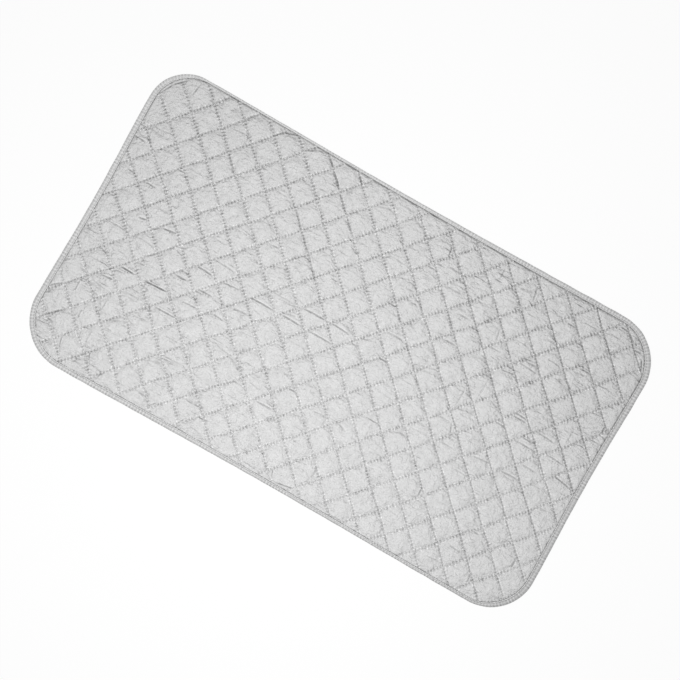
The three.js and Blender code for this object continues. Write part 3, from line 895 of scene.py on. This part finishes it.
def outline_walk(count):
    """Places round the outline at even steps, each with its outward direction, and the step."""
    corners = []
    for side_x, side_y in ((1, 1), (-1, 1), (-1, -1), (1, -1)):
        radius = CORNER_RADII[side_x, side_y]
        centre = np.array([side_x, side_y]) * (HALF - radius)
        start = np.arctan2(side_y, side_x) - np.pi / 4
        angles = start + np.linspace(0, np.pi / 2, CORNER_POINTS)
        corners.append(centre + radius * np.column_stack([np.cos(angles), np.sin(angles)]))
    line = np.concatenate(corners + [corners[0][:1]])
    run = np.concatenate([[0], np.cumsum(np.linalg.norm(np.diff(line, axis=0), axis=1))])
    at = np.arange(count) / count * run[-1]
    place = np.column_stack([np.interp(at, run, line[:, axis]) for axis in (0, 1)])
    ahead = np.roll(place, -1, axis=0) - np.roll(place, 1, axis=0)
    outward = np.column_stack([ahead[:, 1], -ahead[:, 0]])
    return place, outward / np.linalg.norm(outward, axis=1)[:, None], run[-1] / count


EDGE_LENGTH = WALK_STEPS * outline_walk(WALK_STEPS)[2]
SEAM_STITCHES = round(EDGE_LENGTH / SEAM_STITCH)
print("edge of", round(EDGE_LENGTH, 3), "m takes", SEAM_STITCHES, "stitches")

# %% Wrap the tape round the edge
SEAM_MAP = "tape_seam"
STEPS_PER_STITCH = 3
SEAM_TO_LIP, SEAM_PULL, SEAM_PULL_WIDTH = 1.1 * MM, 0.16 * MM, 1.6 * MM
# Ripples of the tape, in size and length: of its width, of its fold and of its height.
WIDTH_RIPPLE, FOLD_RIPPLE, HEIGHT_RIPPLE = (0.25 * MM, 45 * MM), (0.1 * MM, 30 * MM), (0.10 * MM, 14 * MM)
RIB_DEPTH, RIB_SHADE = 0.35, 0.15
TAPE_DARKENING, TAPE_DARKENING_LEAN, RIB_SHADE_PATCH_SIZE = 0.13, (0.08, -0.09), 7 * MM
# Points across the tape: share of the lip's width, then distance in and height in millimetres, then shade.
TAPE_SECTION = [
    (1, -3.0, 2.20, 0), (1, -1.8, 2.20, 0), (1, -1.0, 2.18, 0), (1, -0.3, 2.16, 0.6), (1, 0.0, 2.22, 0.9),
    (1, 0.1, 2.36, 0.9), (1, -0.1, 2.52, 0.8), (1, -0.45, 2.62, 0.6), (1, -0.8, 2.56, 0.5),
    (1, -1.1, 2.46, 0.45), (1, -1.45, 2.62, 0.4), (0.62, 0.0, 3.04, 0.2), (0.50, 0.0, 3.25, 0),
    (0.40, 0.0, 3.14, 0), (0.32, 0.0, 2.88, 0.15), (0.25, 0.0, 2.86, 0.3), (0.17, 0.0, 2.98, 0.3),
    (0.11, 0.05, 2.98, 0.3), (0, 0.35, 2.70, 0.3), (0, 0.08, 2.25, 0.3), (0, 0.0, 1.85, 0.3),
    (0, 0.12, 1.40, 0), (0, 0.35, 0.95, 0), (0.05, 0.35, 0.62, 0), (0.25, 0.0, 0.42, 0),
    (0.4, 0.0, 0.36, 0), (0.6, 0.0, 0.36, 0), (1, -1.5, 0.42, 0), (1, -1.1, 0.52, 0), (1, -0.6, 0.42, 0),
    (1, -0.2, 0.44, 0), (1, 0.0, 0.56, 0), (1, -0.3, 0.68, 0), (1, -1.6, 0.68, 0), (1, -3.0, 0.68, 0)]
UPPER_HALF, LOWEST, FAR_FROM_SEAM = 1.8, 0.05 * MM, 4.0


def tape_points(stations):
    """The grid of the tape: for each station round the edge, the points across the tape."""
    place, outward, step = outline_walk(stations)
    width = lip_width(place) + WIDTH_RIPPLE[0] * ripples(place, WIDTH_RIPPLE[1], SEED + 1)
    wobble = FOLD_RIPPLE[0] * ripples(place, FOLD_RIPPLE[1], SEED + 2)
    uneven = HEIGHT_RIPPLE[0] * ripples(place, HEIGHT_RIPPLE[1], SEED + 3)
    pull = 0.5 + 0.5 * np.cos(2 * np.pi * np.arange(stations) / STEPS_PER_STITCH)
    columns = []
    for share, inward, height, _ in TAPE_SECTION:
        depth = share * width + inward * MM
        near_seam = np.exp(-((depth - width + SEAM_TO_LIP) / SEAM_PULL_WIDTH) ** 2)
        above = 1 if height > UPPER_HALF else -1
        lift = height * MM - above * SEAM_PULL * pull * near_seam
        lift = lift + above * uneven * (1 if share > 0 else 0.4)
        flat = place - outward * (depth - wobble * (share == 0))[:, None]
        columns.append(np.column_stack([flat, np.maximum(lift, LOWEST)]))
    return np.stack(columns, axis=1)


stations = SEAM_STITCHES * STEPS_PER_STITCH
across = len(TAPE_SECTION) - 1
bpy.ops.object.select_all(action="DESELECT")
bpy.ops.mesh.primitive_grid_add(x_subdivisions=across, y_subdivisions=stations, size=2)
binding = bpy.context.object
binding.name = "edge_binding_folded"
grid = np.rint((mesh_points(binding)[:, :2] + 1) / 2 * (across, stations)).astype(int)
# Millimetres from the seam for each point across the tape; a point given by a share is far from it.
section_off = np.array([abs(inward + SEAM_TO_LIP / MM) if share == 1 else FAR_FROM_SEAM
                        for share, inward, *_ in TAPE_SECTION])
section_shade = np.array([point[3] for point in TAPE_SECTION])
wrapped = tape_points(stations)[grid[:, 1] % stations, grid[:, 0]]
add_map(binding, SEAM_MAP, grid[:, 1] / STEPS_PER_STITCH, section_off[grid[:, 0]])
# The tape is darker towards the near side and the right end.
darkening = TAPE_DARKENING + wrapped[:, :2] / HALF @ TAPE_DARKENING_LEAN
add_map(binding, TAPE_MAP, section_shade[grid[:, 0]] + darkening, np.zeros(len(grid)))
set_mesh_points(binding, as_laid(wrapped))
bpy.ops.object.mode_set(mode="EDIT")
bpy.ops.mesh.select_all(action="SELECT")
bpy.ops.mesh.remove_doubles(threshold=0.01 * MM)
bpy.ops.mesh.normals_make_consistent(inside=False)
bpy.ops.object.mode_set(mode="OBJECT")
bpy.ops.object.shade_smooth()
tape_finish, parts = cloth_finish("woven_polyester_tape", ("D4D4D4", "ECECEC"), 0.7, 0.12)
tree = parts["tree"]
along, across, hole, dimple = sewn_marks(tree, SEAM_MAP)
swing = add_node(tree, *COSINE, (add_node(tree, *TIMES, (along, 2 * np.pi)),))
relief = add_node(tree, *PLUS, (parts["grain"], dimple))
height = add_node(tree, *TIMES_PLUS, (swing, -RIB_DEPTH, relief))
tape_shade, _ = map_values(tree, TAPE_MAP)
patchy_shade = add_node(tree, *NOISE, {"Vector": parts["place"], "Scale": 1 / RIB_SHADE_PATCH_SIZE}).outputs["Fac"]
swing = add_node(tree, *TIMES, (swing, add_node(tree, *FADE, (patchy_shade, 0.35, 0.65, 0.0, 1.6))))
# Painted shade on the tape: along its ribs, across its section and in the needle holes of its seam.
ribbed = add_node(tree, *TIMES_PLUS, (swing, RIB_SHADE, tape_shade))
finish_marks(parts, height, add_node(tree, *LARGER, (ribbed, 0.0)), "787878", 0.0, hole)
finish_piece(binding, tape_finish, "binding_tape", "edge_binding")
section = np.linalg.norm(np.diff(tape_points(300), axis=1), axis=2).sum(axis=1).mean()
print("tape", round(section / MM, 1), "mm wide, cut flat")

# %% [markdown]
# A lockstitch shows as a short length of thread that comes up out of one needle hole, arches over the
# cloth and dives into the next. One stitch is extruded from a small ring, then copied along every row.
# There are thousands, so each has only a few dozen faces.

# %% One stitch
THREAD = 0.5 * MM
STITCH_SHARE = 0.96
# The arch of a stitch: shares of its length, with heights in thread thicknesses.
ARCH = [(-0.48, -1.3), (-0.38, -0.4), (-0.22, 0.25), (0.0, 0.45), (0.22, 0.25), (0.38, -0.4), (0.48, -1.3)]


def make_stitch(name, length, thread):
    """One stitch along X, a ring of thread drawn along the arch."""
    start, *rest = [(share * length, 0.0, height * thread) for share, height in ARCH]
    bpy.ops.object.select_all(action="DESELECT")
    bpy.ops.mesh.primitive_circle_add(vertices=6, radius=thread / 2, fill_type="NGON", location=start,
                                      rotation=(0, np.pi / 2, 0))
    stitch = bpy.context.object
    stitch.name = name
    bpy.ops.object.transform_apply(location=True, rotation=True)
    bpy.ops.object.mode_set(mode="EDIT")
    for before, after in zip([start, *rest], rest):
        shift = Vector(after) - Vector(before)
        bpy.ops.mesh.extrude_region_move(TRANSFORM_OT_translate={"value": shift})
    bpy.ops.mesh.select_all(action="SELECT")
    bpy.ops.mesh.normals_make_consistent(inside=False)
    bpy.ops.object.mode_set(mode="OBJECT")
    return stitch


def copy_stitches(name, stitch, places, headings, lengths, below=False):
    """One piece of many stitches: each is the first one, turned to its heading and set in its place."""
    shape = mesh_points(stitch) * (1, 1, -1 if below else 1)
    faces = [list(face.vertices)[::-1 if below else 1] for face in stitch.data.polygons]
    ahead = np.column_stack([np.cos(headings), np.sin(headings), np.zeros(len(headings))])
    aside = np.column_stack([-ahead[:, 1], ahead[:, 0], ahead[:, 2]])
    points = (places[:, None] + shape[:, 0, None] * lengths[:, None, None] * ahead[:, None]
              + shape[:, 1, None] * aside[:, None] + shape[:, 2, None] * np.array([0, 0, 1.0]))
    first = np.arange(len(places)) * len(shape)
    copies = [[corner + start for corner in face] for start in first.tolist() for face in faces]
    mesh = bpy.data.meshes.new(name)
    mesh.from_pydata(points.reshape(-1, 3), [], copies)
    mesh.shade_smooth()
    piece = bpy.data.objects.new(name, mesh)
    bpy.context.scene.collection.objects.link(piece)
    return piece


stitch = make_stitch("one_stitch", STITCH_SHARE * ROW_STITCH, THREAD)
print("one stitch has", len(stitch.data.polygons), "faces")

# %% [markdown]
# The rows are sewn through all layers, with the needle's stitches above and the bobbin's below. Where a row
# closes over its thread, at one end of the pad, or a crease runs across it, the stitch sinks out of sight.

# %% Sew the rows
UNDER_LIP = 2.5 * MM
# How high each family's thread rests, and which way along the pad its rows close over it.
THREAD_REST = {"falling": (0.15 * MM, 1), "rising": (0.3 * MM, -1)}
CLOSED_OVER, CLOSING_LENGTH = 0.2 * MM, 0.35
CREASED_OVER, CREASED_WITHIN, CREASED_MOST = 0.4 * MM, 1.5, 1.5
HEADING_SPREAD, LENGTH_RANGE = np.radians(4), (0.94, 1.04)


def row_stitches(family):
    """Middle and heading of each stitch on the rows of a family, 0 falling and 1 rising."""
    rows = np.arange(-ROWS_EACH_WAY, LAST_ROW[family] + 1)
    count = round(ROWS_EACH_WAY * STITCHES_PER_CELL)
    along = (np.arange(-count, count) + 0.5) / STITCHES_PER_CELL
    places = []
    for shift in (-0.25, 0.0, 0.25):
        pair = np.meshgrid(rows, along + shift / STITCHES_PER_CELL, indexing="ij")
        counts = np.column_stack([side.ravel() for side in pair[::1 if family == 0 else -1]])
        places.append(lattice_place(counts))
    before, middle, after = places
    shown = edge_depth(middle) > lip_width(middle) - UNDER_LIP
    ahead = (after - before)[shown]
    return middle[shown], np.arctan2(ahead[:, 1], ahead[:, 0])


thread_finish, _ = cloth_finish("spun_polyester_thread", ("E4E4E4", "F4F4F4"), 0.8, 0.05)
for family, (slant, (rest, way)) in enumerate(THREAD_REST.items()):
    middles, headings = row_stitches(family)
    depths, offs = crease_values(middles)
    creased = np.minimum((depths * (np.abs(offs) < CREASED_WITHIN)).max(axis=0), CREASED_MOST)
    closing = 1 + way * np.clip(middles[:, 0] / CLOSING_LENGTH, -1, 1)
    lift = rest - CLOSED_OVER * closing - CREASED_OVER * creased
    rng = np.random.default_rng(SEED + family)
    headings = headings + rng.normal(0, HEADING_SPREAD, len(headings))
    lengths = rng.uniform(*LENGTH_RANGE, len(headings))
    upper = as_laid(np.column_stack([middles, ROW_HEIGHT + lift]))
    piece = copy_stitches(f"quilting_needle_stitches_{slant}", stitch, upper, headings, lengths)
    finish_piece(piece, thread_finish, "polyester_thread", f"quilting_thread_{slant}")
    lower = as_laid(np.column_stack([middles, np.full(len(middles), BACK_ROW_HEIGHT)]))
    piece = copy_stitches(f"quilting_bobbin_stitches_{slant}", stitch, lower, headings, lengths, below=True)
    finish_piece(piece, thread_finish, "polyester_thread")

# %% [markdown]
# The binding is sewn with a thicker thread, close to the inner edge of its lip. The same helper copies one
# stitch round the outline, above for the needle and below for the bobbin.

# %% Sew the binding
SEAM_THREAD, SEAM_STITCH_SHARE = 1.1 * MM, 0.9
SEAM_SIDES = (("needle", 2.55 * MM, False), ("bobbin", 1.1 * MM, True))
bpy.data.objects.remove(stitch)
stitch = make_stitch("one_seam_stitch", SEAM_STITCH_SHARE * ROW_STITCH, SEAM_THREAD)
place, outward, step = outline_walk(SEAM_STITCHES)
seam = place - outward * (lip_width(place) - SEAM_TO_LIP)[:, None]
headings = np.arctan2(outward[:, 0], -outward[:, 1])
lengths = np.full(len(seam), step / ROW_STITCH)
for side, height, below in SEAM_SIDES:
    places = as_laid(np.column_stack([seam, np.full(len(seam), height)]))
    piece = copy_stitches(f"binding_{side}_stitches", stitch, places, headings, lengths, below)
    finish_piece(piece, thread_finish, "polyester_thread", f"binding_{side}_thread")
bpy.data.objects.remove(stitch)
